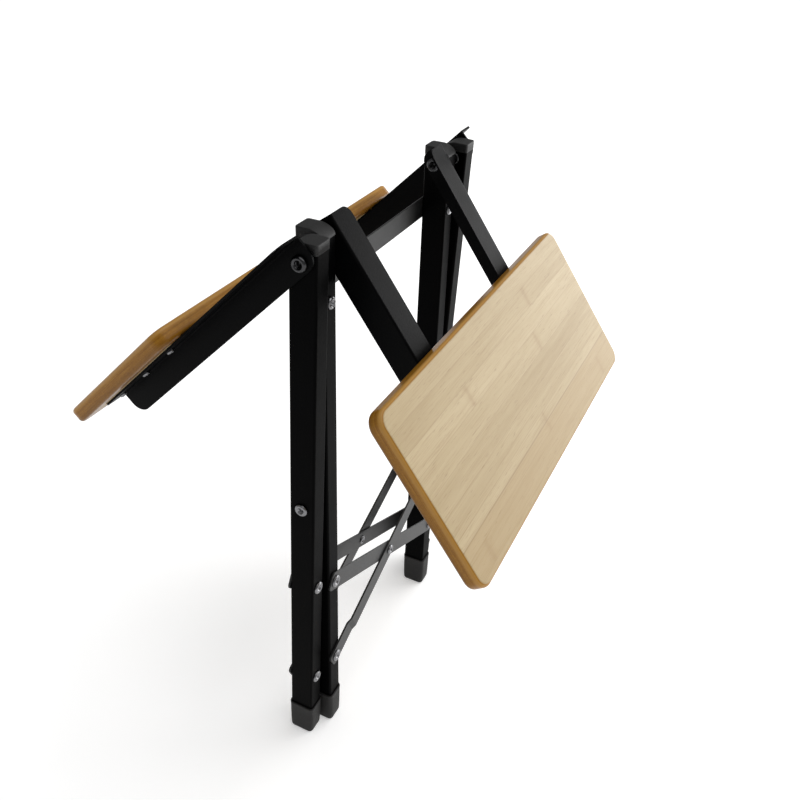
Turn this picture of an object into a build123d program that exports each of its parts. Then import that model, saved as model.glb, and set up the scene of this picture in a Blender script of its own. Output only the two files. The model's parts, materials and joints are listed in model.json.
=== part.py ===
from build123d import *
from math import sin, cos, radians, hypot, atan2, degrees
import os

# Folding tray table: two scissor leg frames and two hinged half tops.
# Millimetres, +Z up, Y along the hinge axes, X across the fold.
# The origin is on the floor, under the middle of the table's footprint box.

# ---------------------------------------------------------------- dimensions
leg_w = 25.4            # leg tube, size across the fold (local X)
leg_d = 19.05           # leg tube, size along the hinge axis (Y)
leg_wall = 1.5
leg_r = 2.2             # outer corner radius of the tube
leg_low = 319.4         # pivot to the floor, along the leg
leg_up = 251.0          # pivot to the top of the tube, along the leg
hinge_up = 244.0        # pivot to the top hinge, along the leg
lean = 1.0              # half angle between the leg frames as drawn, degrees

y_a = 153.0             # outer face of the outer frame's legs
gap_ab = 5.4            # gap between the outer and the inner leg
y_b = y_a - leg_d - gap_ab
y_b_in = y_b - leg_d    # inner face of the inner frame's legs

boot_h = 41.0           # leg boot
boot_wall = 1.6
boot_floor = 4.0
cap_high = 8.6          # height of the cap above the tube, on its flat side
cap_low = 1.3           # and on the side that is rounded down
cap_turn = 1.5          # where the rounding starts, from the middle of the tube

# braces, heights along the leg from the floor end
brace_a_high, brace_a_low = 218.5, 86.5
brace_b_high, brace_b_low = 208.0, 99.0
bar_w = 20.0
bar_t = 2.0
joggle_at = 33.0        # from the end rivet to the start of the set in the upper bar
joggle_run = 6.0
tie_low, tie_high = 185.5, 206.5   # tie bar of the inner frame, from the pivot along the leg

# arms and tops
arm_t = 2.0
arm_flange = 27.0
arm_v0, arm_v1 = -9.0, 17.0        # web, below and above the hinge
arm_u0, arm_u1 = -13.5, 263.0      # along the arm from the hinge
left_web_y = y_a + 1.5             # inner face of the left arms' webs
right_web_y = y_b_in - 3.0         # outer face of the right arms' webs
top_gap = 122.0                    # hinge to the top's inner edge
top_w = 163.5
top_l = 405.0
top_t = 14.5
top_corner = 13.0
top_edge = 3.6
droop_left = 46.3                  # below level as drawn, degrees
droop_right = 52.8

# fasteners
pin_d = 8.0
pin_hole = 8.1
rivet_d = 6.0
rivet_head = 13.0
pivot_head = 12.5
clear = 0.3                        # between bodies that turn on each other
screw_d = 4.0
screw_u = (160.0, 204.0, 248.0)

# ------------------------------------------------------------ derived frames
a = radians(lean)


def reach(droop):
    """How far a half top reaches sideways from its hinge."""
    p = radians(droop)
    return (top_gap + top_w - top_edge) * cos(p) + (arm_v1 + top_t - top_edge) * sin(p) + top_edge


# pivot height, for boots that are cut level with the floor
pivot_z = leg_low * cos(a)
hinge_a = (hinge_up * sin(a), hinge_up * cos(a))
hinge_b = (-hinge_up * sin(a), hinge_up * cos(a))
shift = -0.5 * ((hinge_a[0] - reach(droop_left)) + (hinge_b[0] + reach(droop_right)))

# local frames: x across, y along Y, z up the leg
FA = Plane(origin=(shift, 0, pivot_z), x_dir=(cos(a), 0, -sin(a)), z_dir=(sin(a), 0, cos(a)))
FB = Plane(origin=(shift, 0, pivot_z), x_dir=(cos(a), 0, sin(a)), z_dir=(-sin(a), 0, cos(a)))
pl, pr = radians(droop_left), radians(droop_right)
# x out along the arm, z square to the top
TL = Plane(origin=(shift + hinge_a[0], 0, pivot_z + hinge_a[1]),
           x_dir=(-cos(pl), 0, -sin(pl)), z_dir=(-sin(pl), 0, cos(pl)))
TR = Plane(origin=(shift + hinge_b[0], 0, pivot_z + hinge_b[1]),
           x_dir=(cos(pr), 0, -sin(pr)), z_dir=(sin(pr), 0, cos(pr)))


def side_plane(f, x):
    """Sketch plane square to the frame's x: sketch coordinates are (y, z)."""
    return Plane(origin=f.from_local_coords((x, 0, 0)), x_dir=f.y_dir, z_dir=f.x_dir)


def face_plane(f, y):
    """Sketch plane square to the frame's y: sketch coordinates are (x, z), extruding towards -y."""
    return Plane(origin=f.from_local_coords((0, y, 0)), x_dir=f.x_dir, z_dir=-f.y_dir)


def spin_plane(origin, along, radial):
    """Sketch plane whose y runs along a fastener's axis and whose x is its radius."""
    return Plane(origin=origin, x_dir=radial, z_dir=radial.cross(along))


written = []
os.makedirs("parts", exist_ok=True)


def write(builder, label):
    builder.part.label = label
    export_step(builder.part, "parts/" + label + ".step")
    written.append(label)


# --------------------------------------------------------------------- legs
def leg(frame, y0, up, rivet_heights, tie_height=None):
    """A rectangular tube from y0 to y0 + leg_d, drilled for its pivot, hinge and rivets."""
    yc = y0 + leg_d / 2
    with BuildPart() as tube:
        with BuildSketch(frame.offset(-(leg_low - boot_floor))):
            with Locations((0, yc)):
                RectangleRounded(leg_w, leg_d, leg_r)
                RectangleRounded(leg_w - 2 * leg_wall, leg_d - 2 * leg_wall, leg_r - leg_wall, mode=Mode.SUBTRACT)
        extrude(amount=up + leg_low - boot_floor)
        with BuildSketch(face_plane(frame, yc + leg_d)):
            with Locations((0, 0), (0, hinge_up)):
                Circle(pin_hole / 2)
        extrude(amount=2 * leg_d, mode=Mode.SUBTRACT)
        spots = [(yc, h - leg_low) for h in rivet_heights]
        if tie_height is not None:
            spots.append((yc, tie_height))
        with BuildSketch(side_plane(frame, -leg_w)):
            with Locations(*spots):
                Circle(rivet_d / 2)
        extrude(amount=2 * leg_w, mode=Mode.SUBTRACT)
    return tube


tie_mid = (tie_low + tie_high) / 2
leg_a_front = leg(FA, -y_a, leg_up, (brace_a_low, brace_a_high))
write(leg_a_front, "leg_outer_front")
leg_a_rear = leg(FA, y_a - leg_d, leg_up, (brace_a_low, brace_a_high))
write(leg_a_rear, "leg_outer_rear")
leg_b_front = leg(FB, -y_b, leg_up, (brace_b_low, brace_b_high), tie_mid)
write(leg_b_front, "leg_inner_front")
leg_b_rear = leg(FB, y_b_in, leg_up, (brace_b_low, brace_b_high), tie_mid)
write(leg_b_rear, "leg_inner_rear")


# --------------------------------------------------------------- leg plugs
def cap(frame, y0, side):
    """Top plug: a hollow stem in the tube under a head that is rounded down on one side, so that
    the frame can lean over under the tops. side is +1 where the flat part is at local +x."""
    yc = y0 + leg_d / 2
    up = leg_up
    stem = up - hinge_up - 4.8
    hw = leg_w / 2 + 0.3
    with BuildPart() as plug:
        with BuildSketch(frame.offset(up)):
            with Locations((0, yc)):
                RectangleRounded(leg_w + 0.6, leg_d + 0.6, leg_r + 0.3)
        extrude(amount=cap_high)
        with BuildSketch(face_plane(frame, yc + leg_d)):
            with BuildLine():
                c1 = Line((side * hw * 1.2, up + cap_high), (side * cap_turn, up + cap_high))
                c2 = TangentArc(c1 @ 1, (-side * hw, up + cap_low), tangent=(-side, 0))
                c3 = Polyline(c2 @ 1, (-side * hw * 1.2, up + cap_low), (-side * hw * 1.2, up + 2 * cap_high), (side * hw * 1.2, up + 2 * cap_high), c1 @ 0)
            make_face()
        extrude(amount=2 * leg_d, mode=Mode.SUBTRACT)
        crest = plug.faces().filter_by(lambda f: frame.to_local_coords(f.center()).Z > up + 3 and abs(frame.to_local_coords(f.center()).Y - yc) < 0.5
                                       and abs(frame.to_local_coords(f.center()).X) < hw - 1.5)
        fillet([e for f in crest for e in f.edges() if e.length > 5 and abs(frame.to_local_coords(e.center()).Y - yc) > leg_d / 4], 0.9)
        with BuildSketch(frame.offset(up - stem)):
            with Locations((0, yc)):
                RectangleRounded(leg_w - 2 * leg_wall - 0.2, leg_d - 2 * leg_wall - 0.2, leg_r - leg_wall)
                RectangleRounded(leg_w - 2 * leg_wall - 3.4, leg_d - 2 * leg_wall - 3.4, 0.8, mode=Mode.SUBTRACT)
        # the stem stops above the hinge pin
        extrude(amount=stem)
    return plug


def boot(frame, y0):
    """Plastic boot: tapers towards the floor, cut level, with softened edges."""
    yc = y0 + leg_d / 2
    w1, d1 = leg_w + 2 * boot_wall, leg_d + 2 * boot_wall
    with BuildPart() as shoe:
        with BuildSketch(frame.offset(-leg_low - 2)) as low:
            with Locations((0, yc)):
                RectangleRounded(w1 - 2.4, d1 - 1.6, 4.0)
        with BuildSketch(frame.offset(-leg_low + boot_h)) as high:
            with Locations((0, yc)):
                RectangleRounded(w1, d1, 4.4)
        loft()
        split(bisect_by=Plane.XY, keep=Keep.TOP)
        fillet(shoe.faces().sort_by(Axis.Z)[0].edges(), 2.2)
        rim = shoe.faces().sort_by(Axis(frame.origin, frame.z_dir))[-1]
        fillet(rim.edges(), 0.5)
        with BuildSketch(frame.offset(-(leg_low - boot_floor))):
            with Locations((0, yc)):
                RectangleRounded(leg_w, leg_d, leg_r)
        extrude(amount=boot_h, mode=Mode.SUBTRACT)
    return shoe


for tag, frame, y0, side in (("outer_front", FA, -y_a, 1), ("outer_rear", FA, y_a - leg_d, 1),
                             ("inner_front", FB, -y_b, -1), ("inner_rear", FB, y_b_in, -1)):
    write(cap(frame, y0, side), "cap_" + tag)
    write(boot(frame, y0), "foot_" + tag)


# ------------------------------------------------------------------- braces
def flat_bar(frame, x, yz0, yz1, end=9.0):
    """Flat bar from x to x + bar_t, between two rivets given as (y, z)."""
    ln = hypot(yz1[0] - yz0[0], yz1[1] - yz0[1])
    turn = degrees(atan2(yz1[1] - yz0[1], yz1[0] - yz0[0]))
    mid = ((yz0[0] + yz1[0]) / 2, (yz0[1] + yz1[1]) / 2)
    with BuildPart() as bar:
        with BuildSketch(side_plane(frame, x)):
            with Locations(Location((mid[0], mid[1], 0), (0, 0, turn))):
                RectangleRounded(ln + 2 * end, bar_w, 5.0)
            with Locations(yz0, yz1, mid):
                Circle(rivet_d / 2, mode=Mode.SUBTRACT)
        extrude(amount=bar_t)
        outline = bar.edges().filter_by(GeomType.LINE).filter_by(
            lambda e: e.length > ln, )
        fillet(outline, 0.5)
    return bar


def set_bar(frame, x, out, yz0, yz1, end=9.0):
    """Flat bar whose middle is set out by its own thickness, towards out (+1 or -1), to cross the other bar."""
    ln = hypot(yz1[0] - yz0[0], yz1[1] - yz0[1])
    d = ((yz1[0] - yz0[0]) / ln, (yz1[1] - yz0[1]) / ln)
    n = (-d[1], d[0])
    mid = ((yz0[0] + yz1[0]) / 2, (yz0[1] + yz1[1]) / 2)
    o = frame.from_local_coords((x, mid[0], mid[1]))
    along = frame.y_dir * d[0] + frame.z_dir * d[1]
    across = frame.y_dir * n[0] + frame.z_dir * n[1]
    # sketch coordinates: (distance along the bar, height off the leg)
    bend = Plane(origin=o - across * (bar_w / 2), x_dir=along, z_dir=across)
    flip = 1 if bend.y_dir.dot(frame.x_dir * out) > 0 else -1
    h = ln / 2
    s1, s2 = h - joggle_at, h - joggle_at - joggle_run
    pts = [(-h - end, 0), (-s1, 0), (-s2, bar_t), (s2, bar_t), (s1, 0), (h + end, 0),
           (h + end, bar_t), (s1 - 0.6, bar_t), (s2 - 0.6, 2 * bar_t), (-s2 + 0.6, 2 * bar_t), (-s1 + 0.6, bar_t), (-h - end, bar_t)]
    pts = [(p[0], p[1] * flip) for p in pts]
    with BuildPart() as bar:
        with BuildSketch(bend):
            Polygon(*pts, align=None)
        extrude(amount=bar_w)
        ends = bar.edges().filter_by(lambda e: abs(abs(e.tangent_at(0.5).dot(frame.x_dir)) - 1) < 1e-3)
        fillet(ends, 5.0)
        with BuildSketch(side_plane(frame, x - 3 * bar_t)):
            with Locations(yz0, yz1, mid):
                Circle(rivet_d / 2)
        extrude(amount=6 * bar_t, mode=Mode.SUBTRACT)
    return bar


ya_mid = y_a - leg_d / 2
yb_mid = y_b - leg_d / 2
za_hi, za_lo = brace_a_high - leg_low, brace_a_low - leg_low
zb_hi, zb_lo = brace_b_high - leg_low, brace_b_low - leg_low
# outer frame: on the left faces of its legs
brace_a_1 = flat_bar(FA, -leg_w / 2 - bar_t, (-ya_mid, za_hi), (ya_mid, za_lo))
write(brace_a_1, "brace_outer_flat")
brace_a_2 = set_bar(FA, -leg_w / 2, -1, (-ya_mid, za_lo), (ya_mid, za_hi))
write(brace_a_2, "brace_outer_set")
# inner frame: on the right faces of its legs
brace_b_1 = flat_bar(FB, leg_w / 2, (-yb_mid, zb_hi), (yb_mid, zb_lo))
write(brace_b_1, "brace_inner_flat")
brace_b_2 = set_bar(FB, leg_w / 2, 1, (-yb_mid, zb_lo), (yb_mid, zb_hi))
write(brace_b_2, "brace_inner_set")

with BuildPart() as tie_bar:
    with BuildSketch(side_plane(FB, -leg_w / 2 - bar_t)):
        with Locations((0, tie_mid)):
            RectangleRounded(2 * y_b - 1.0, tie_high - tie_low, 3.0)
        with Locations((-yb_mid, tie_mid), (yb_mid, tie_mid)):
            Circle(rivet_d / 2, mode=Mode.SUBTRACT)
    extrude(amount=bar_t)
    fillet(tie_bar.edges().filter_by(GeomType.LINE).filter_by(lambda e: e.length > y_b), 0.5)
write(tie_bar, "tie_bar")


# --------------------------------------------------------------- fasteners
def dome_profile(r_shank, r_head, z_seat, h_head, dimple=True):
    """Half profile of a domed head that sits on z_seat and rises by h_head."""
    pts = [(r_shank, z_seat), (r_head, z_seat), (r_head, z_seat + 0.3 * h_head),
           (0.86 * r_head, z_seat + 0.72 * h_head), (0.55 * r_head, z_seat + h_head)]
    if dimple:
        pts += [(0.44 * r_head, z_seat + h_head), (0.34 * r_head, z_seat + 0.45 * h_head), (0, z_seat + 0.40 * h_head)]
    else:
        pts += [(0, z_seat + 1.12 * h_head)]
    return pts


def rivet(origin, along, radial, r_shank, r_head, seat, h_head, r_tail, tail, h_tail, dimple=True):
    """Sketch plane and half profile: head on the +along side at seat, tail at tail (tail < seat)."""
    sp = spin_plane(origin, along, radial)
    prof = dome_profile(r_shank, r_head, seat, h_head, dimple)
    prof += [(0, tail - 0.55 * h_tail), (0.45 * r_tail, tail - 0.6 * h_tail), (0.62 * r_tail, tail - h_tail),
             (0.9 * r_tail, tail - h_tail), (r_tail, tail - 0.6 * h_tail), (r_tail, tail), (r_shank, tail)]
    return sp, prof


def x_rivet(frame, y, z, head_out, head_seat, tail_seat, h_head=2.4, h_tail=1.5, r_head=rivet_head / 2, r_tail=5.2):
    """Rivet along the frame's x. head_out is +1 or -1, seats are distances along that way."""
    return rivet(frame.from_local_coords((0, y, z)), frame.x_dir * head_out, frame.y_dir, rivet_d / 2, r_head,
                 head_seat, h_head, r_tail, tail_seat, h_tail)


hw = leg_w / 2
rivets_a = [x_rivet(FA, y, z, 1, hw, -hw - bar_t) for y in (-ya_mid, ya_mid) for z in (za_lo, za_hi)]
rivets_a.append(x_rivet(FA, 0, (za_lo + za_hi) / 2, -1, hw + 2 * bar_t, hw, r_head=5.5))
with BuildPart() as brace_rivets_a:
    for sp, prof in rivets_a:
        with BuildSketch(sp):
            Polygon(*prof, align=None)
        revolve(axis=Axis(sp.origin, sp.y_dir))
write(brace_rivets_a, "brace_rivets_outer")

rivets_b = [x_rivet(FB, y, z, 1, hw + bar_t, -hw) for y in (-yb_mid, yb_mid) for z in (zb_lo, zb_hi)]
rivets_b.append(x_rivet(FB, 0, (zb_lo + zb_hi) / 2, 1, hw + 2 * bar_t, hw, r_head=5.5))
with BuildPart() as brace_rivets_b:
    for sp, prof in rivets_b:
        with BuildSketch(sp):
            Polygon(*prof, align=None)
        revolve(axis=Axis(sp.origin, sp.y_dir))
write(brace_rivets_b, "brace_rivets_inner")

with BuildPart() as tie_rivets:
    for sp, prof in [x_rivet(FB, y, tie_mid, 1, hw, -hw - bar_t, r_head=5.5) for y in (-yb_mid, yb_mid)]:
        with BuildSketch(sp):
            Polygon(*prof, align=None)
        revolve(axis=Axis(sp.origin, sp.y_dir))
write(tie_rivets, "tie_bar_rivets")

centre = Vector(shift, 0, pivot_z)
with BuildPart() as pivot_rivets:
    for s in (-1, 1):
        sp, prof = rivet(centre, Vector(0, s, 0), Vector(1, 0, 0), pin_d / 2, pivot_head / 2, y_a + clear, 2.4,
                         pivot_head / 2 - 0.4, y_b_in - clear, 1.6)
        with BuildSketch(sp):
            Polygon(*prof, align=None)
        revolve(axis=Axis(sp.origin, sp.y_dir))
write(pivot_rivets, "pivot_rivets")

with BuildPart() as pivot_spacers:
    for s in (-1, 1):
        with BuildSketch(Plane(origin=(shift, s * (y_b + clear), pivot_z), x_dir=(1, 0, 0), z_dir=(0, s, 0))):
            Circle(8.0)
            Circle(pin_d / 2, mode=Mode.SUBTRACT)
        extrude(amount=gap_ab - 2 * clear)
write(pivot_spacers, "pivot_spacers")

tl_o, tr_o = TL.origin, TR.origin
thin = 1.7
with BuildPart() as left_pins:
    for s in (-1, 1):
        sp, prof = rivet(tl_o, Vector(0, s, 0), Vector(1, 0, 0), pin_d / 2, 6.8, left_web_y + arm_t + clear, 3.2,
                         5.8, y_a - leg_d - clear, thin, dimple=False)
        with BuildSketch(sp):
            Polygon(*prof, align=None)
        revolve(axis=Axis(sp.origin, sp.y_dir))
write(left_pins, "left_hinge_pins")

with BuildPart() as left_washers:
    for s in (-1, 1):
        with BuildSketch(Plane(origin=(tl_o.X, s * (y_a + clear), tl_o.Z), x_dir=(1, 0, 0), z_dir=(0, s, 0))):
            Circle(7.5)
            Circle(pin_d / 2, mode=Mode.SUBTRACT)
        extrude(amount=left_web_y - y_a - 2 * clear)
write(left_washers, "left_hinge_washers")

with BuildPart() as right_pins:
    for s in (-1, 1):
        sp, prof = rivet(tr_o, Vector(0, -s, 0), Vector(1, 0, 0), pin_d / 2, 6.8, -(right_web_y - arm_t - clear), 3.2,
                         5.8, -(y_b + clear), thin, dimple=False)
        with BuildSketch(sp):
            Polygon(*prof, align=None)
        revolve(axis=Axis(sp.origin, sp.y_dir))
write(right_pins, "right_hinge_pins")

with BuildPart() as right_washers:
    for s in (-1, 1):
        with BuildSketch(Plane(origin=(tr_o.X, s * (right_web_y + clear), tr_o.Z), x_dir=(1, 0, 0), z_dir=(0, s, 0))):
            Circle(7.5)
            Circle(pin_d / 2, mode=Mode.SUBTRACT)
        extrude(amount=y_b_in - right_web_y - 2 * clear)
write(right_washers, "right_hinge_washers")


# --------------------------------------------------------------------- arms
def arm(frame, web_y, out):
    """Steel angle: web from web_y to web_y + out * arm_t (local y), flange along the top going towards out."""
    y_hi = max(web_y, web_y + out * arm_t)
    f0, f1 = sorted((web_y, web_y + out * arm_flange))
    with BuildPart() as angle:
        with BuildSketch(face_plane(frame, y_hi)):
            with BuildLine():
                r1, r2 = 11.0, 13.0
                a1 = Line((arm_u0, arm_v1), (arm_u0, arm_v0 + r1))
                a2 = RadiusArc(a1 @ 1, (arm_u0 + r1, arm_v0), -r1)
                a3 = Line(a2 @ 1, (arm_u1 - r2, arm_v0))
                a4 = RadiusArc(a3 @ 1, (arm_u1, arm_v0 + r2), -r2)
                a5 = Polyline(a4 @ 1, (arm_u1, arm_v1), (arm_u0, arm_v1))
            make_face()
            Circle(pin_hole / 2, mode=Mode.SUBTRACT)
        extrude(amount=arm_t)
        with BuildSketch(frame.offset(arm_v1 - arm_t)) as fl:
            with Locations(((arm_u0 + arm_u1) / 2, (f0 + f1) / 2)):
                Rectangle(arm_u1 - arm_u0, f1 - f0)
            far = f1 if out > 0 else f0
            fillet([v for v in fl.vertices() if abs(v.Y - far) < 0.01 and v.X < 0], 9.0)
            fillet([v for v in fl.vertices() if abs(v.Y - far) < 0.01 and v.X > arm_u1 - 1], 5.0)
            with Locations(*[(u, (f0 + f1) / 2 + out * arm_t / 2) for u in screw_u]):
                Circle(screw_d / 2, mode=Mode.SUBTRACT)
        extrude(amount=arm_t)

        def at(e, y, v):
            c = frame.to_local_coords(e.center())
            return abs(c.Y - y) < 0.05 and abs(c.Z - v) < 0.05 and e.length > 200

        fillet(angle.edges().filter_by(lambda e: at(e, web_y, arm_v1)), 1.9)
        fillet(angle.edges().filter_by(lambda e: at(e, web_y + out * arm_t, arm_v1 - arm_t)), 0.8)
    return angle


# the left frame's local y is the world's -Y, so its front arm is at +y
write(arm(TL, left_web_y, 1), "left_arm_front")
write(arm(TL, -left_web_y, -1), "left_arm_rear")
write(arm(TR, -right_web_y, 1), "right_arm_front")
write(arm(TR, right_web_y, -1), "right_arm_rear")


# --------------------------------------------------------------------- tops
left_screw_y = left_web_y + (arm_flange + arm_t) / 2
right_screw_y = right_web_y - (arm_flange + arm_t) / 2
screw_len = 9.5


def top(frame, screw_y):
    with BuildPart() as board:
        with BuildSketch(frame.offset(arm_v1)):
            with Locations((top_gap + top_w / 2, 0)):
                RectangleRounded(top_w, top_l, top_corner)
        extrude(amount=top_t)
        flats = board.faces().sort_by(Axis(frame.origin, frame.z_dir))
        fillet(flats[0].edges() + flats[-1].edges(), top_edge)
        with BuildSketch(frame.offset(arm_v1)):
            with Locations(*[(u, s * screw_y) for u in screw_u for s in (-1, 1)]):
                Circle(screw_d / 2)
        extrude(amount=screw_len, mode=Mode.SUBTRACT)
    return board


def screws(frame, screw_y):
    """Pan-head wood screws, up through the flange into the board."""
    with BuildPart() as group:
        for u in screw_u:
            for s in (-1, 1):
                sp = spin_plane(frame.from_local_coords((u, s * screw_y, 0)), frame.z_dir, frame.x_dir)
                v = arm_v1 - arm_t
                with BuildSketch(sp):
                    Polygon((0, v - 1.2), (1.1, v - 1.2), (1.5, v - 2.5), (2.6, v - 2.3), (3.6, v - 1.2), (3.9, v), (screw_d / 2, v),
                            (screw_d / 2, arm_v1 + screw_len - 2.5), (0, arm_v1 + screw_len), align=None)
                revolve(axis=Axis(sp.origin, sp.y_dir))
    return group


write(top(TL, left_screw_y), "left_top")
write(top(TR, right_screw_y), "right_top")
write(screws(TL, left_screw_y), "left_top_screws")
write(screws(TR, right_screw_y), "right_top_screws")

# numbers that the record needs
print("nodes", len(written))
print("shift", round(shift, 4), "pivot", [round(shift, 4), 0, round(pivot_z, 4)])
print("left hinge", [round(v, 4) for v in tl_o], "right hinge", [round(v, 4) for v in tr_o])
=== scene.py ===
import bpy, bmesh, json
from math import sin, cos, pi, radians, sqrt, hypot
from mathutils import Vector, Matrix


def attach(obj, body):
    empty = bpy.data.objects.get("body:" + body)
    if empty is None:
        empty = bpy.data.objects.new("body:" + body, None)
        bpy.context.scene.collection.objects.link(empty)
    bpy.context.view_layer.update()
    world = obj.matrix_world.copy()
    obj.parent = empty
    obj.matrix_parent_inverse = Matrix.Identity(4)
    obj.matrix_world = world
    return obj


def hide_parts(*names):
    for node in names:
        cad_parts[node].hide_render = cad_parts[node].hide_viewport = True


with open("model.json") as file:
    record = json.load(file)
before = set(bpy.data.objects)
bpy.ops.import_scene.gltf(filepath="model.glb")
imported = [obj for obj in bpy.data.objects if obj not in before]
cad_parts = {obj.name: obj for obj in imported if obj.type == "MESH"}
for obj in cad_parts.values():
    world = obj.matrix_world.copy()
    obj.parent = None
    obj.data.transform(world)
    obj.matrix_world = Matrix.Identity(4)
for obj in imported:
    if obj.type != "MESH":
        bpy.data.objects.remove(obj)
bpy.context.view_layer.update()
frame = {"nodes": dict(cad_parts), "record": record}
nodes = frame["nodes"]

MM = 0.001
AX_Y = Vector((0, 1, 0))

# ------------------------------------------------------- positions, from the frame
joint = {}
for b in frame["record"]["behaviour"]["joints"]:
    joint[b["name"]] = b
PIVOT = Vector(joint["legs_spread"]["pos_m"])
HINGE_L = Vector(joint["left_lift"]["pos_m"])
HINGE_R = Vector(joint["right_lift"]["pos_m"])


def rigid(origin, up):
    """Matrix with z along up, y along the row's Y."""
    z = up.normalized()
    x = AX_Y.cross(z)
    m = Matrix((x, AX_Y, z)).transposed().to_4x4()
    m.translation = origin
    return m


LEG_A = rigid(PIVOT, HINGE_L - PIVOT)
LEG_B = rigid(PIVOT, HINGE_R - PIVOT)
mount = {m["name"]: m for m in frame["record"]["mounts"]}
N_L = Vector(mount["left_top_face"]["axis"])
N_R = Vector(mount["right_top_face"]["axis"])
U_L = Vector((-N_L.z, 0, N_L.x))          # out along the left arms
U_R = Vector((N_R.z, 0, -N_R.x))          # out along the right arms

# ------------------------------------------------------------------ node helpers


class Tree:
    def __init__(self, name):
        self.mat = bpy.data.materials.new(name)
        self.mat.use_nodes = True
        self.nt = self.mat.node_tree
        self.nt.nodes.clear()
        self.out = self.nt.nodes.new("ShaderNodeOutputMaterial")
        self.bsdf = self.nt.nodes.new("ShaderNodeBsdfPrincipled")
        self.nt.links.new(self.bsdf.outputs[0], self.out.inputs[0])
        self.coord = self.nt.nodes.new("ShaderNodeTexCoord").outputs["Object"]

    def put(self, socket, v):
        if isinstance(v, bpy.types.NodeSocket):
            self.nt.links.new(v, socket)
        else:
            socket.default_value = v

    def math(self, op, a, b=0.0, c=0.0, clamp=False):
        n = self.nt.nodes.new("ShaderNodeMath")
        n.operation = op
        n.use_clamp = clamp
        self.put(n.inputs[0], a)
        self.put(n.inputs[1], b)
        self.put(n.inputs[2], c)
        return n.outputs[0]

    def vec(self, op, a, b=(0, 0, 0)):
        n = self.nt.nodes.new("ShaderNodeVectorMath")
        n.operation = op
        self.put(n.inputs[0], a)
        self.put(n.inputs[1], b)
        return n.outputs["Value"] if op in ("DOT_PRODUCT", "LENGTH", "DISTANCE") else n.outputs[0]

    def scale(self, v, xyz):
        n = self.nt.nodes.new("ShaderNodeVectorMath")
        n.operation = "MULTIPLY"
        self.put(n.inputs[0], v)
        n.inputs[1].default_value = xyz
        return n.outputs[0]

    def join(self, x, y, z):
        n = self.nt.nodes.new("ShaderNodeCombineXYZ")
        self.put(n.inputs[0], x)
        self.put(n.inputs[1], y)
        self.put(n.inputs[2], z)
        return n.outputs[0]

    def split(self, v):
        n = self.nt.nodes.new("ShaderNodeSeparateXYZ")
        self.put(n.inputs[0], v)
        return n.outputs[0], n.outputs[1], n.outputs[2]

    def noise(self, v, scale, detail=2.0, rough=0.5, distort=0.0):
        n = self.nt.nodes.new("ShaderNodeTexNoise")
        self.put(n.inputs["Vector"], v)
        n.inputs["Scale"].default_value = scale
        n.inputs["Detail"].default_value = detail
        n.inputs["Roughness"].default_value = rough
        n.inputs["Distortion"].default_value = distort
        return n.outputs[0]

    def voronoi(self, v, scale, feature="F1"):
        n = self.nt.nodes.new("ShaderNodeTexVoronoi")
        n.feature = feature
        self.put(n.inputs["Vector"], v)
        n.inputs["Scale"].default_value = scale
        return n.outputs[0]

    def white(self, v):
        n = self.nt.nodes.new("ShaderNodeTexWhiteNoise")
        n.noise_dimensions = "1D"
        self.put(n.inputs["W"], v)
        return n.outputs["Value"]

    def ramp(self, f, *stops):
        n = self.nt.nodes.new("ShaderNodeValToRGB")
        self.put(n.inputs[0], f)
        e = n.color_ramp.elements
        while len(e) < len(stops):
            e.new(0.5)
        for k, (p, c) in enumerate(stops):
            e[k].position = p
            e[k].color = c if len(c) == 4 else (*c, 1)
        return n.outputs[0]

    def remap(self, f, a, b, c=0.0, d=1.0):
        n = self.nt.nodes.new("ShaderNodeMapRange")
        n.interpolation_type = "SMOOTHSTEP"
        self.put(n.inputs[0], f)
        n.inputs[1].default_value = a
        n.inputs[2].default_value = b
        n.inputs[3].default_value = c
        n.inputs[4].default_value = d
        return n.outputs[0]

    def mix(self, f, a, b, mode="MIX"):
        n = self.nt.nodes.new("ShaderNodeMix")
        n.data_type = "RGBA"
        n.blend_type = mode
        self.put(n.inputs[0], f)
        self.put(n.inputs[6], a if isinstance(a, bpy.types.NodeSocket) else (*a, 1))
        self.put(n.inputs[7], b if isinstance(b, bpy.types.NodeSocket) else (*b, 1))
        return n.outputs[2]

    def bump(self, height, strength, distance, normal=None):
        n = self.nt.nodes.new("ShaderNodeBump")
        n.inputs["Strength"].default_value = strength
        n.inputs["Distance"].default_value = distance
        self.put(n.inputs["Height"], height)
        if normal is not None:
            self.put(n.inputs["Normal"], normal)
        return n.outputs[0]

    def set(self, **kw):
        names = {"color": "Base Color", "rough": "Roughness", "metal": "Metallic", "normal": "Normal",
                 "spec": "Specular IOR Level", "coat": "Coat Weight", "coat_rough": "Coat Roughness", "ior": "IOR",
                 "sheen": "Sheen Weight", "aniso": "Anisotropic"}
        for k, v in kw.items():
            if k == "color" and not isinstance(v, bpy.types.NodeSocket):
                v = (*v, 1)
            self.put(self.bsdf.inputs[names[k]], v)
        return self.mat


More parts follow.
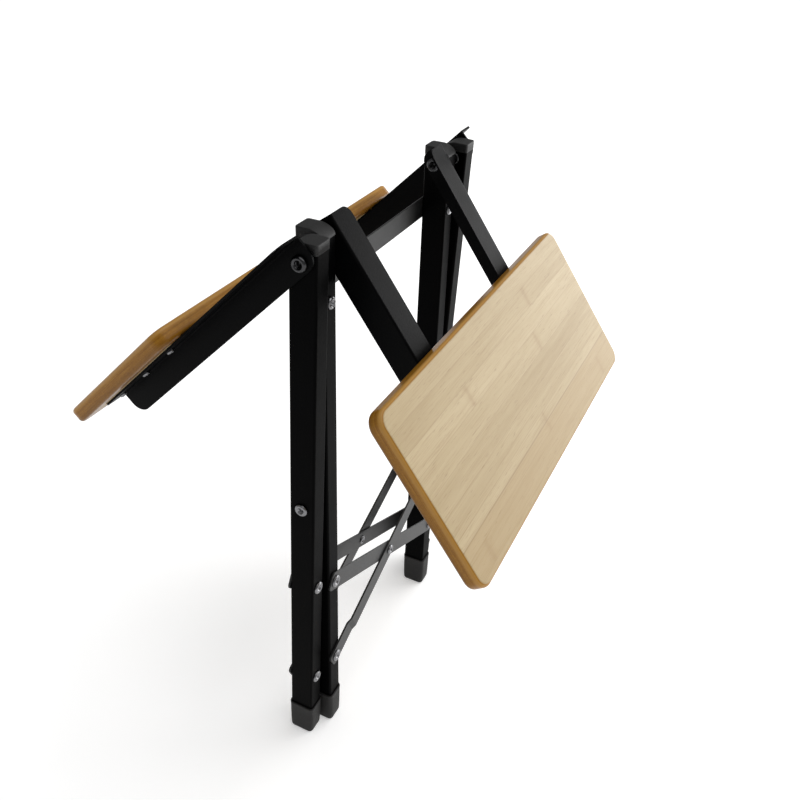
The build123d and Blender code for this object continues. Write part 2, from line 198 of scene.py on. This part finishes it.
# ---------------------------------------------------------------------- materials
def powder_coat(name, dark, light, gloss=0.05):
    """Satin black powder coat: orange peel, faint dust and fine rubs."""
    t = Tree(name)
    cloud = t.noise(t.coord, 34.0, 4.0, 0.6)
    fleck = t.noise(t.coord, 900.0, 2.0, 0.6)
    f = t.math("MULTIPLY_ADD", fleck, 0.35, t.math("MULTIPLY", cloud, 0.65))
    col = t.ramp(f, (0.3, dark), (0.72, light))
    # fine rubs, longer than they are wide
    rub = t.noise(t.scale(t.coord, (700, 700, 45)), 1.0, 3.0, 0.6)
    rub = t.remap(rub, 0.66, 0.8)
    col = t.mix(t.math("MULTIPLY", rub, 0.35), col, tuple(3.2 * c for c in light))
    rough = t.math("MULTIPLY_ADD", cloud, 0.14, 0.36)
    peel = t.noise(t.coord, 620.0, 2.0, 0.5)
    n = t.bump(peel, 0.22, 0.0004)
    n = t.bump(t.noise(t.coord, 2600.0, 1.0), 0.10, 0.0001, n)
    return t.set(color=col, rough=rough, normal=n, spec=gloss)


def moulded(name, dark, light, gloss=0.2):
    """Moulded black plastic with a fine spark-eroded grain."""
    t = Tree(name)
    cloud = t.noise(t.coord, 60.0, 3.0, 0.6)
    grain = t.voronoi(t.coord, 1900.0)
    f = t.math("MULTIPLY_ADD", grain, 0.4, t.math("MULTIPLY", cloud, 0.7))
    col = t.ramp(f, (0.25, dark), (0.8, light))
    scuff = t.remap(t.noise(t.scale(t.coord, (300, 300, 90)), 1.0, 4.0, 0.65), 0.6, 0.78)
    col = t.mix(t.math("MULTIPLY", scuff, 0.4), col, tuple(2.6 * c for c in light))
    rough = t.math("MULTIPLY_ADD", cloud, 0.16, 0.5)
    n = t.bump(grain, 0.25, 0.00025)
    n = t.bump(t.noise(t.coord, 240.0, 2.0), 0.12, 0.0006, n)
    return t.set(color=col, rough=rough, normal=n, spec=gloss)


def bright_metal(name, tone, grime):
    """Zinc plating: spangle, turning marks and a little dirt in the hollows."""
    t = Tree(name)
    cloud = t.noise(t.coord, 260.0, 3.0, 0.6)
    spangle = t.voronoi(t.coord, 1400.0)
    col = t.ramp(t.math("MULTIPLY_ADD", spangle, 0.5, t.math("MULTIPLY", cloud, 0.6)),
                 (0.2, tuple(0.62 * c for c in tone)), (0.75, tone))
    dirt = t.remap(t.noise(t.coord, 520.0, 4.0, 0.7), 0.56, 0.72)
    col = t.mix(t.math("MULTIPLY", dirt, grime), col, (0.05, 0.045, 0.04))
    rough = t.math("MULTIPLY_ADD", cloud, 0.22, 0.16)
    n = t.bump(t.noise(t.coord, 1500.0, 2.0), 0.25, 0.0002)
    return t.set(color=col, rough=rough, metal=1.0, normal=n)


def nylon(name):
    t = Tree(name)
    cloud = t.noise(t.coord, 300.0, 3.0, 0.6)
    col = t.ramp(cloud, (0.3, (0.012, 0.012, 0.012)), (0.7, (0.03, 0.03, 0.03)))
    return t.set(color=col, rough=t.math("MULTIPLY_ADD", cloud, 0.2, 0.4), normal=t.bump(cloud, 0.2, 0.0003), spec=0.35)


def bamboo(name, origin, u_dir, n_dir, box, seed):
    """Edge-glued bamboo: strips along Y, vascular flecks, node bands, amber varnish on the rounded edges.
    box is (u0, u1, half length, v0, v1) in metres, in the leaf's own frame."""
    u0, u1, hy, v0, v1 = box
    t = Tree(name)
    p = t.vec("SUBTRACT", t.coord, tuple(origin))
    u = t.vec("DOT_PRODUCT", p, tuple(u_dir))
    v = t.vec("DOT_PRODUCT", p, tuple(n_dir))
    y = t.split(p)[1]
    loc = t.join(u, y, v)
    # strips, with wandering glue lines
    wander = t.math("MULTIPLY", t.math("SUBTRACT", t.noise(t.scale(loc, (0, 6, 0)), 1.0, 2.0), 0.5), 0.0012)
    s = t.math("DIVIDE", t.math("SUBTRACT", t.math("ADD", u, wander), u0), 0.0195)
    k = t.math("FLOOR", s)
    fr = t.math("FRACT", s)
    tone = t.white(t.math("ADD", k, 3.7 + seed))
    tone2 = t.white(t.math("ADD", k, 41.3 + seed))
    # long soft streaks, fibres and short vascular flecks, all along Y
    shift = t.math("MULTIPLY", tone2, 7.0)
    loc2 = t.vec("ADD", loc, t.join(0.0, shift, shift))
    streak = t.noise(t.scale(loc2, (150, 5.5, 60)), 1.0, 3.0, 0.6, 0.3)
    fibre = t.noise(t.scale(loc2, (1500, 22, 500)), 1.0, 3.0, 0.65)
    fleck = t.noise(t.scale(loc2, (1300, 75, 900)), 1.0, 2.0, 0.5)
    blotch = t.noise(t.scale(loc2, (26, 9, 20)), 1.0, 3.0, 0.55)
    f = t.math("MULTIPLY_ADD", streak, 0.50, t.math("MULTIPLY", tone, 0.26))
    f = t.math("MULTIPLY_ADD", blotch, 0.24, f)
    col = t.ramp(f, (0.2, (0.325, 0.232, 0.108)), (0.48, (0.405, 0.307, 0.163)), (0.8, (0.475, 0.372, 0.214)))
    dark = t.remap(fibre, 0.46, 0.72)
    col = t.mix(t.math("MULTIPLY", dark, 0.36), col, (0.27, 0.165, 0.07))
    dash = t.remap(fleck, 0.62, 0.74)
    col = t.mix(t.math("MULTIPLY", dash, 0.42), col, (0.20, 0.115, 0.045))
    # node bands: one or two on each strip, soft and broken
    yy = t.math("ADD", t.math("MULTIPLY", y, 3.1), t.math("MULTIPLY", tone, 5.0))
    band = t.math("ABSOLUTE", t.math("SUBTRACT", t.math("FRACT", yy), 0.5))
    wob = t.math("MULTIPLY", t.noise(t.scale(loc, (260, 90, 0)), 1.0, 2.0), 0.022)
    band = t.math("SUBTRACT", band, wob)
    knot = t.remap(band, 0.003, -0.010)
    keep = t.remap(tone2, 0.5, 0.55)
    col = t.mix(t.math("MULTIPLY", t.math("MULTIPLY", knot, keep), 0.24), col, (0.25, 0.145, 0.055))
    halo = t.remap(band, 0.024, 0.0)
    col = t.mix(t.math("MULTIPLY", t.math("MULTIPLY", halo, keep), 0.12), col, (0.28, 0.17, 0.07))
    # glue lines
    line = t.math("MINIMUM", fr, t.math("SUBTRACT", 1.0, fr))
    glue = t.remap(line, 0.028, 0.0)
    col = t.mix(t.math("MULTIPLY", glue, 0.24), col, (0.20, 0.11, 0.04))
    # the strip along the outer edge is a deeper tone
    outer = t.remap(u, u1 - 0.0375, u1 - 0.0362)
    col = t.mix(t.math("MULTIPLY", outer, 0.42), col, (0.335, 0.222, 0.092))
    brink = t.math("ABSOLUTE", t.math("SUBTRACT", u, u1 - 0.0368))
    col = t.mix(t.math("MULTIPLY", t.remap(brink, 0.0009, 0.0002), 0.4), col, (0.19, 0.105, 0.04))
    # rounded edges: amber, with the plies and the cut fibres showing
    top = t.remap(v, v1 - 0.00034, v1 - 0.00003)
    # underneath, the varnish runs in over a border
    border = t.math("MINIMUM", t.math("SUBTRACT", t.math("SUBTRACT", u1, u), 0.0), t.math("SUBTRACT", hy, t.math("ABSOLUTE", y)))
    border = t.math("MINIMUM", border, t.math("SUBTRACT", u, u0))
    low = t.math("MULTIPLY", t.remap(v, v0 + 0.0010, v0 + 0.00012), t.remap(border, 0.0145, 0.0165))
    flat = t.math("MAXIMUM", top, low)
    ply = t.noise(t.scale(t.join(u, y, v), (40, 14, 900)), 1.0, 3.0, 0.6)
    cut = t.noise(t.scale(loc, (700, 260, 700)), 1.0, 3.0, 0.65)
    e = t.math("MULTIPLY_ADD", ply, 0.55, t.math("MULTIPLY", cut, 0.45))
    edge = t.ramp(e, (0.30, (0.20, 0.080, 0.006)), (0.5, (0.28, 0.122, 0.010)), (0.70, (0.37, 0.178, 0.022)))
    seam = t.math("ABSOLUTE", t.math("SUBTRACT", v, (v0 + v1) / 2 + 0.0012))
    edge = t.mix(t.math("MULTIPLY", t.remap(seam, 0.0005, 0.0001), 0.3), edge, (0.12, 0.045, 0.005))
    # painted highlight: the upper rounding of the edge is lifted to a lighter honey colour
    painted_highlight_band = t.math("MULTIPLY", t.remap(v, v1 - 0.0052, v1 - 0.0022), t.remap(v, v1 - 0.00012, v1 - 0.0009))
    edge = t.mix(t.math("MULTIPLY", painted_highlight_band, 0.62), edge, (0.50, 0.275, 0.075))
    # painted shade: the edge colour darkens towards the underside, next to the flange
    edge = t.mix(t.math("MULTIPLY", t.remap(v, v0 + 0.0075, v0 + 0.0005), 0.62), edge, (0.115, 0.046, 0.005))
    col = t.mix(flat, edge, col)
    rough = t.math("MULTIPLY_ADD", fibre, 0.16, t.math("MULTIPLY_ADD", flat, 0.16, 0.24))
    h = t.math("MULTIPLY_ADD", fibre, 0.6, t.math("MULTIPLY", fleck, -0.35))
    h = t.math("SUBTRACT", h, t.math("MULTIPLY", glue, 0.5))
    n = t.bump(h, 0.16, 0.0004)
    return t.set(color=col, rough=rough, normal=n, spec=0.14, coat=0.10, coat_rough=0.18)


M_STEEL = powder_coat("black_powder_coat", (0.0005, 0.0005, 0.0006), (0.0015, 0.0015, 0.0016), 0.018)
M_ARM = powder_coat("black_powder_coat_arms", (0.0006, 0.0006, 0.0007), (0.0019, 0.0020, 0.0022), 0.036)
M_BAR = powder_coat("black_powder_coat_bars", (0.010, 0.010, 0.0103), (0.019, 0.019, 0.0195), 0.40)
M_PLASTIC = moulded("black_moulded_plastic", (0.006, 0.0057, 0.0055), (0.0145, 0.0138, 0.0132))
M_CAP = moulded("black_moulded_caps", (0.0028, 0.0028, 0.0028), (0.0085, 0.0085, 0.0085), 0.34)
M_METAL = bright_metal("bright_zinc", (0.24, 0.24, 0.25), 0.5)
# painted shade: the hinge pins use a much darker copy of the zinc, standing in for the dark surroundings they reflect
M_DARKPIN = bright_metal("hinge_zinc_painted_dark", (0.065, 0.065, 0.068), 0.6)
M_NYLON = nylon("washer_nylon")
LEAF_BOX = (0.122, 0.2855, 0.2025, 0.017, 0.0315)
M_BAMBOO_L = bamboo("bamboo_left", HINGE_L, U_L, N_L, LEAF_BOX, 17)
M_BAMBOO_R = bamboo("bamboo_right", HINGE_R, U_R, N_R, LEAF_BOX, 0)


def dress(obj, mat):
    obj.data.materials.clear()
    obj.data.materials.append(mat)
    for p in obj.data.polygons:
        p.material_index = 0


for name, obj in nodes.items():
    if name.startswith("leg_"):
        dress(obj, M_STEEL)
    elif name.startswith(("left_arm", "right_arm")):
        dress(obj, M_ARM)
    elif name in ("brace_outer_flat", "brace_outer_set", "brace_inner_flat", "brace_inner_set", "tie_bar"):
        dress(obj, M_BAR)
    elif name.startswith(("cap_", "foot_")):
        dress(obj, M_PLASTIC)
    elif name == "left_top":
        dress(obj, M_BAMBOO_L)
    elif name == "right_top":
        dress(obj, M_BAMBOO_R)
    elif name in ("pivot_spacers", "left_hinge_washers", "right_hinge_washers"):
        dress(obj, M_NYLON)
    else:
        dress(obj, M_METAL)

# a worn edge on the cut steel: a hairline bevel, no change of size
for name, obj in nodes.items():
    if name.startswith(("left_arm", "right_arm", "brace_", "leg_")) or name == "tie_bar":
        m = obj.modifiers.new("edge", "BEVEL")
        m.width = 0.00028
        m.segments = 2
        m.limit_method = "ANGLE"
        m.angle_limit = radians(50)
        m.harden_normals = False


# ------------------------------------------------------------------- mesh helpers
def new_object(name, bm, mat, smooth=True):
    me = bpy.data.meshes.new(name)
    bmesh.ops.recalc_face_normals(bm, faces=bm.faces)
    bm.to_mesh(me)
    bm.free()
    for p in me.polygons:
        p.use_smooth = smooth
    me.materials.append(mat)
    o = bpy.data.objects.new(name, me)
    bpy.context.scene.collection.objects.link(o)
    return o


def rounded_ring(hx, hy, r, seg=6):
    """Points of a rounded rectangle, counter-clockwise."""
    r = min(r, hx * 0.98, hy * 0.98)
    pts = []
    for cx, cy, a0 in ((hx - r, hy - r, 0), (-hx + r, hy - r, 90), (-hx + r, -hy + r, 180), (hx - r, -hy + r, 270)):
        for i in range(seg + 1):
            a = radians(a0 + 90 * i / seg)
            pts.append((cx + r * cos(a), cy + r * sin(a)))
    return pts


def ring_stack(bm, rings, place):
    """Skin a list of (hx, hy, r, z) rings. place maps a local point (x, y, z) to the row frame. Returns vertex rings."""
    rows = []
    for hx, hy, r, z in rings:
        rows.append([bm.verts.new(place(x, y, z)) for x, y in rounded_ring(hx, hy, r)])
    for a, b in zip(rows, rows[1:]):
        n = len(a)
        for i in range(n):
            bm.faces.new((a[i], a[(i + 1) % n], b[(i + 1) % n], b[i]))
    return rows


def lathe(bm, origin, axis, ref, prof, seg=40):
    """Turn a profile of (radius, height) about axis."""
    axis = axis.normalized()
    ref = (ref - axis * ref.dot(axis)).normalized()
    side = axis.cross(ref)
    rows = []
    for r, h in prof:
        c = origin + axis * h
        if r < 1e-7:
            rows.append([bm.verts.new(c)])
        else:
            rows.append([bm.verts.new(c + (ref * cos(2 * pi * i / seg) + side * sin(2 * pi * i / seg)) * r) for i in range(seg)])
    for a, b in zip(rows, rows[1:]):
        for i in range(seg):
            j = (i + 1) % seg
            if len(a) == 1 and len(b) == 1:
                continue
            if len(a) == 1:
                bm.faces.new((a[0], b[j], b[i]))
            elif len(b) == 1:
                bm.faces.new((a[i], a[j], b[0]))
            else:
                bm.faces.new((a[i], a[j], b[j], b[i]))


def rolled_head(r, seat, h, sign=1):
    """Profile of a tubular rivet's rolled head, from its seat to its hollow middle."""
    out = []
    out.append((r * 0.985, seat))
    out.append((r, seat + sign * 0.10 * h))
    for i in range(9):
        a = radians(10 + 160 * i / 8)
        out.append((r * 0.70 + 0.30 * r * cos(a), seat + sign * (0.22 * h + 0.78 * h * sin(a))))
    out += [(0.38 * r, seat + sign * 0.34 * h), (0.30 * r, seat + sign * 0.05 * h), (0.27 * r, seat - sign * 0.5 * h),
            (0.0, seat - sign * 0.55 * h)]
    return out


def domed_head(r, seat, h, sign=1):
    """Profile of a low domed head with a shallow struck flat."""
    out = [(r * 0.985, seat), (r, seat + sign * 0.14 * h)]
    for i in range(1, 9):
        a = radians(90 * i / 8)
        out.append((r * cos(a) * 0.97 + 0.03 * r * (1 - i / 8), seat + sign * (0.18 * h + 0.82 * h * sin(a))))
    out[-1] = (0.16 * r, seat + sign * 0.985 * h)
    out.append((0.0, seat + sign * 0.95 * h))
    return out


def flat_tail(r, seat, h, sign=-1):
    """Profile of a peened tail or thin nut."""
    return [(r * 0.985, seat), (r, seat + sign * 0.2 * h), (r * 0.96, seat + sign * 0.7 * h), (r * 0.84, seat + sign * 0.96 * h),
            (0.62 * r, seat + sign * h), (0.50 * r, seat + sign * 0.62 * h), (0.0, seat + sign * 0.5 * h)]


def pin_piece(name, body, replaced, pins, mat, seg=40):
    """pins: (origin, axis, ref, shank radius, head profile, tail profile)."""
    bm = bmesh.new()
    for origin, axis, ref, rs, head, tail in pins:
        prof = list(reversed(tail)) + [(rs, tail[0][1]), (rs, head[0][1])] + head
        lathe(bm, origin, axis, ref, prof, seg)
    o = new_object(name, bm, mat)
    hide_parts(replaced)
    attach(o, body)
    return o


# --------------------------------------------------------------- numbers of the part
LEG_W, LEG_D, LEG_LOW = 25.4, 19.05, 319.4
Y_A, Y_B = 153.0, 128.55
LEG_TOP, CAP_HIGH, CAP_LOW, CAP_TURN = 251.0, 8.6, 1.3, 1.5
BAR_T = 2.0
ya_mid, yb_mid = Y_A - LEG_D / 2, Y_B - LEG_D / 2
za_hi, za_lo = 218.5 - LEG_LOW, 86.5 - LEG_LOW
zb_hi, zb_lo = 208.0 - LEG_LOW, 99.0 - LEG_LOW
TIE_Z = 196.0
hw = LEG_W / 2


def at(m, x, y, z):
    return m @ Vector((x * MM, y * MM, z * MM))


def mm(profile):
    return [(r * MM, h * MM) for r, h in profile]


# rivets of the braces and of the tie bar
def x_pins(m, spots):
    """spots: (y, z, sign of the head's side, head seat, tail seat, head radius)"""
    out = []
    ax = (m.to_3x3() @ Vector((1, 0, 0)))
    ref = (m.to_3x3() @ Vector((0, 0, 1)))
    for y, z, s, seat, tail, r in spots:
        out.append((at(m, 0, y, z), ax * s, ref, 3.0 * MM, mm(rolled_head(r, seat, 2.3)), mm(flat_tail(5.2, tail, 1.5))))
    return out


pin_piece("rivets_braces_outer", "frame_outer", "brace_rivets_outer",
          x_pins(LEG_A, [(y, z, 1, hw, -hw - BAR_T, 6.5) for y in (-ya_mid, ya_mid) for z in (za_lo, za_hi)]
                 + [(0, (za_lo + za_hi) / 2, -1, hw + 2 * BAR_T, hw, 5.5)]), M_METAL)
pin_piece("rivets_braces_inner", "frame_inner", "brace_rivets_inner",
          x_pins(LEG_B, [(y, z, 1, hw + BAR_T, -hw, 6.5) for y in (-yb_mid, yb_mid) for z in (zb_lo, zb_hi)]
                 + [(0, (zb_lo + zb_hi) / 2, 1, hw + 2 * BAR_T, hw, 5.5)]), M_METAL)
pin_piece("rivets_tie_bar", "frame_inner", "tie_bar_rivets",
          x_pins(LEG_B, [(y, TIE_Z, 1, hw, -hw - BAR_T, 5.5) for y in (-yb_mid, yb_mid)]), M_METAL)

X = Vector((1, 0, 0))
pin_piece("rivets_pivot", "pivot", "pivot_rivets",
          [(PIVOT, AX_Y * s, X, 4 * MM, mm(rolled_head(6.25, 153.3, 2.3)), mm(flat_tail(5.85, 109.2, 1.6))) for s in (-1, 1)], M_METAL, 56)
pin_piece("pins_left_hinge", "left_leaf", "left_hinge_pins",
          [(HINGE_L, AX_Y * s, X, 4 * MM, mm(rolled_head(6.8, 156.8, 3.5)), mm(flat_tail(5.8, 133.65, 1.7))) for s in (-1, 1)], M_DARKPIN, 56)
pin_piece("pins_right_hinge", "right_leaf", "right_hinge_pins",
          [(HINGE_R, AX_Y * -s, X, 4 * MM, mm(rolled_head(6.8, -104.2, 3.5)), mm(flat_tail(5.8, -128.85, 1.7))) for s in (-1, 1)], M_DARKPIN, 56)


# ------------------------------------------------------------------ caps and boots
def cap_piece(name, body, m, yc, replaced, side):
    """Plug over the tube's end: a skirt inside the tube and a head that is flat on one side and
    rounded down on the other, with a soft rim and a shallow mould line."""
    bm = bmesh.new()
    hx, hy, r = LEG_W / 2, LEG_D / 2, 2.2
    place = lambda x, y, z: at(m, x, y + yc, LEG_TOP + z)
    rings = [(hx - 1.9, hy - 1.9, 0.8, -1.9), (hx - 1.6, hy - 1.6, 0.9, -1.6), (hx - 1.55, hy - 1.55, 0.9, 0.0),
             (hx - 0.4, hy - 0.4, r - 0.3, 0.02), (hx + 0.12, hy + 0.12, r, 0.08), (hx + 0.3, hy + 0.3, r + 0.2, 0.3)]
    rows = ring_stack(bm, rings, place)
    ox, oy = hx + 0.3, hy + 0.3
    big = ((CAP_TURN + ox) ** 2 + (CAP_HIGH - CAP_LOW) ** 2) / (2 * (CAP_HIGH - CAP_LOW))

    def crest(x):
        d = CAP_TURN - side * x
        return CAP_HIGH - (0 if d <= 0 else big - sqrt(max(big * big - d * d, 0)))

    base = rounded_ring(ox, oy, r + 0.2)
    # a finer ring, so that the long rounding comes out smooth
    fine = []
    for i, (x, y) in enumerate(base):
        x2, y2 = base[(i + 1) % len(base)]
        k = max(1, int(hypot(x2 - x, y2 - y) / 1.2))
        fine += [(x + (x2 - x) * q / k, y + (y2 - y) * q / k) for q in range(k)]
    lift = [bm.verts.new(place(x, y, 0.3)) for x, y in fine]
    bm.faces.new(list(reversed(rows[-1])))
    last = lift
    n = len(last)
    for sc, dz in ((1.0, -0.95), (0.9925, -0.5), (0.974, -0.2), (0.948, -0.05), (0.91, 0.0), (0.84, 0.02), (0.74, 0.04), (0.6, 0.06),
                   (0.45, 0.08), (0.3, 0.09), (0.15, 0.1)):
        row = [bm.verts.new(place(x * sc, y * sc, max(crest(x * sc) + dz, 0.34))) for x, y in fine]
        for i in range(n):
            bm.faces.new((last[i], last[(i + 1) % n], row[(i + 1) % n], row[i]))
        last = row
    c = bm.verts.new(place(0, 0, crest(0) + 0.1))
    for i in range(n):
        bm.faces.new((last[i], last[(i + 1) % n], c))
    bm.faces.new(list(reversed(rows[0])))
    bm.faces.new(list(reversed(lift)))
    o = new_object(name, bm, M_CAP)
    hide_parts(replaced)
    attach(o, body)
    return o


def boot_piece(name, body, m, yc, replaced):
    """Boot: rolled rim, a step under it, a slight taper and a rounded sole with a tread groove."""
    bm = bmesh.new()
    w, d = LEG_W / 2, LEG_D / 2
    top = 41.0
    rot = m.to_3x3()
    up = rot @ Vector((0, 0, 1))

    def place(x, y, z):
        p = at(m, x, y + yc, -LEG_LOW + z)
        if z < 6.0:                       # the sole is cut level with the floor
            level = z * MM
            k = (6.0 - z) / 6.0
            want = level
            p = p + up * ((want - p.z) / up.z) * k
        return p

    rings = [(w, d, 2.2, top - 7.0), (w, d, 2.2, top - 0.5), (w + 0.35, d + 0.35, 2.6, top - 0.08), (w + 0.9, d + 0.9, 3.8, top),
             (w + 1.45, d + 1.45, 4.3, top - 0.25), (w + 1.68, d + 1.68, 4.5, top - 0.9), (w + 1.68, d + 1.68, 4.5, top - 2.2),
             (w + 1.5, d + 1.5, 4.3, top - 2.9), (w + 1.38, d + 1.38, 4.2, top - 3.4), (w + 1.3, d + 1.25, 4.2, 26.0),
             (w + 1.05, d + 1.05, 4.2, 12.0), (w + 0.75, d + 0.9, 4.2, 4.6), (w + 0.45, d + 0.65, 4.1, 2.4), (w - 0.15, d + 0.05, 3.8, 0.95),
             (w - 1.1, d - 0.9, 3.4, 0.22), (w - 2.2, d - 2.0, 3.0, 0.0), (w - 4.6, d - 4.4, 1.8, 0.0), (w - 5.0, d - 4.8, 1.6, 0.9),
             (w - 6.4, d - 6.2, 1.0, 0.9)]
    rows = ring_stack(bm, rings, place)
    bm.faces.new(rows[-1])
    bm.faces.new(list(reversed(rows[0])))
    o = new_object(name, bm, M_PLASTIC)
    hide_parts(replaced)
    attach(o, body)
    return o


for tag, body, m, yc in (("outer_front", "frame_outer", LEG_A, -ya_mid), ("outer_rear", "frame_outer", LEG_A, ya_mid),
                         ("inner_front", "frame_inner", LEG_B, -yb_mid), ("inner_rear", "frame_inner", LEG_B, yb_mid)):
    cap_piece("plug_" + tag, body, m, yc, "cap_" + tag, 1 if tag.startswith("outer") else -1)
    boot_piece("boot_" + tag, body, m, yc, "foot_" + tag)


# -------------------------------------------------------------------------- screws
def cross_head(bm, origin, axis, ref, seat, r=3.9, h=2.4):
    """Pan head with a cross recess, on a threaded shank. seat is the height of the underside of the head."""
    axis = axis.normalized()
    ref = (ref - axis * ref.dot(axis)).normalized()
    side = axis.cross(ref)
    seg = 48
    rows = []
    prof = [(1.95, 0.0), (r * 0.97, 0.0), (r, -0.25), (r * 0.97, -0.95), (r * 0.86, -1.6), (r * 0.70, -2.05), (r * 0.52, -2.3), (r * 0.34, -2.4),
            (r * 0.18, -2.42)]

    def put(rad, hh, i):
        a = 2 * pi * i / seg
        # depth of the cross recess
        x, y = rad * cos(a), rad * sin(a)
        arm = min(abs(x), abs(y))
        reach = max(abs(x), abs(y))
        dz = 0.0
        if hh < -1.0 and reach < 2.35 and arm < 0.55:
            dz = 1.25 * (1 - max(0.0, reach - 1.5) / 0.85)
        return bm.verts.new(origin + (axis * (seat + hh + dz) + ref * x + side * y) * MM)

    for rad, hh in prof:
        rows.append([put(rad, hh, i) for i in range(seg)])
    for a, b in zip(rows, rows[1:]):
        for i in range(seg):
            j = (i + 1) % seg
            bm.faces.new((a[i], a[j], b[j], b[i]))
    c = bm.verts.new(origin + axis * (seat - 2.4 + 1.3) * MM)
    for i in range(seg):
        bm.faces.new((rows[-1][i], rows[-1][(i + 1) % seg], c))
    # shank with a coarse thread, up to a point
    turns, length = 6, 11.2
    n = 16
    prev = None
    steps = turns * n
    shank = []
    for k in range(30):
        hh = length * k / 29
        taper = 1.0 if hh < length - 2.6 else max(0.02, (length - hh) / 2.6)
        rad = (1.95 if k % 2 == 0 else 1.55) * taper
        shank.append([bm.verts.new(origin + (axis * (seat + hh) + ref * rad * cos(2 * pi * i / 20) + side * rad * sin(2 * pi * i / 20)) * MM)
                      for i in range(20)])
    for a, b in zip(shank, shank[1:]):
        for i in range(20):
            j = (i + 1) % 20
            bm.faces.new((a[i], a[j], b[j], b[i]))


def screw_piece(name, body, origin, u_dir, n_dir, ys, replaced):
    bm = bmesh.new()
    for k, u in enumerate((160.0, 204.0, 248.0)):
        for j, y in enumerate(ys):
            turn = 0.35 + 1.1 * k + 0.7 * j
            ref = u_dir * cos(turn) + AX_Y * sin(turn)
            cross_head(bm, origin + u_dir * u * MM + AX_Y * y * MM, n_dir, ref, 15.0)
    o = new_object(name, bm, M_METAL)
    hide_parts(replaced)
    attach(o, body)
    return o


screw_piece("screws_left", "left_leaf", HINGE_L, U_L, N_L, (-169.0, 169.0), "left_top_screws")
screw_piece("screws_right", "right_leaf", HINGE_R, U_R, N_R, (-92.0, 92.0), "right_top_screws")

# ------------------------------------------------------------------ floor and lights
bm = bmesh.new()
s = 6.0
vs = [bm.verts.new((x, y, 0)) for x, y in ((-s, -s), (s, -s), (s, s), (-s, s))]
bm.faces.new(vs)
t = Tree("pale_floor")
cloud = t.noise(t.coord, 5.0, 3.0)
t.bsdf.inputs["Emission Color"].default_value = (1, 1, 1, 1)
t.bsdf.inputs["Emission Strength"].default_value = 0.34
floor = new_object("floor", bm, t.set(color=t.ramp(cloud, (0.3, (0.86, 0.86, 0.86)), (0.7, (0.89, 0.89, 0.89))), rough=0.75, spec=0.2,
                                      normal=t.bump(t.noise(t.coord, 300.0, 2.0), 0.05, 0.001)), False)

world = bpy.data.worlds.new("studio")
bpy.context.scene.world = world
world.use_nodes = True
bg = world.node_tree.nodes["Background"]
bg.inputs[0].default_value = (1.0, 1.0, 1.0, 1)
bg.inputs[1].default_value = 0.33


def area(name, loc, target, size, power, color=(1, 1, 1)):
    d = bpy.data.lights.new(name, "AREA")
    d.shape = "RECTANGLE"
    d.size, d.size_y = size
    d.energy = power
    d.color = color
    o = bpy.data.objects.new(name, d)
    bpy.context.scene.collection.objects.link(o)
    o.location = loc
    o.rotation_euler = (Vector(target) - Vector(loc)).to_track_quat("-Z", "Y").to_euler()
    return o


sun = bpy.data.lights.new("soft_sky", "SUN")
sun.energy = 1.75
sun.angle = radians(70)
sky = bpy.data.objects.new("soft_sky", sun)
bpy.context.scene.collection.objects.link(sky)
sky.rotation_euler = Vector((0.34, 0.22, 0.91)).to_track_quat("Z", "Y").to_euler()
area("back_panel", (1.05, 1.75, 0.62), (0.05, 0, 0.45), (2.2, 0.9), 34)

bpy.context.scene.view_settings.view_transform = "Standard"

# --------------------------------------------------------------------------- camera
az, el, roll = radians(24.228), radians(33.641), radians(3.385)
back = Vector((sin(az) * cos(el), -cos(az) * cos(el), sin(el)))
right = Vector((cos(az), sin(az), 0))
up = back.cross(right)
r2 = right * cos(roll) + up * sin(roll)
u2 = up * cos(roll) - right * sin(roll)
C = Vector((PIVOT.x, 0, 0.250)) + back * 0.937104 + r2 * 0.024631 + u2 * 0.083128
cam_data = bpy.data.cameras.new("camera")
cam_data.sensor_width = 36.0
cam_data.lens = 869.668 / 800 * 36.0
cam_data.clip_start = 0.01
cam = bpy.data.objects.new("camera", cam_data)
m = Matrix((r2, u2, back)).transposed().to_4x4()
m.translation = C
cam.matrix_world = m
bpy.context.scene.collection.objects.link(cam)
bpy.context.scene.camera = cam
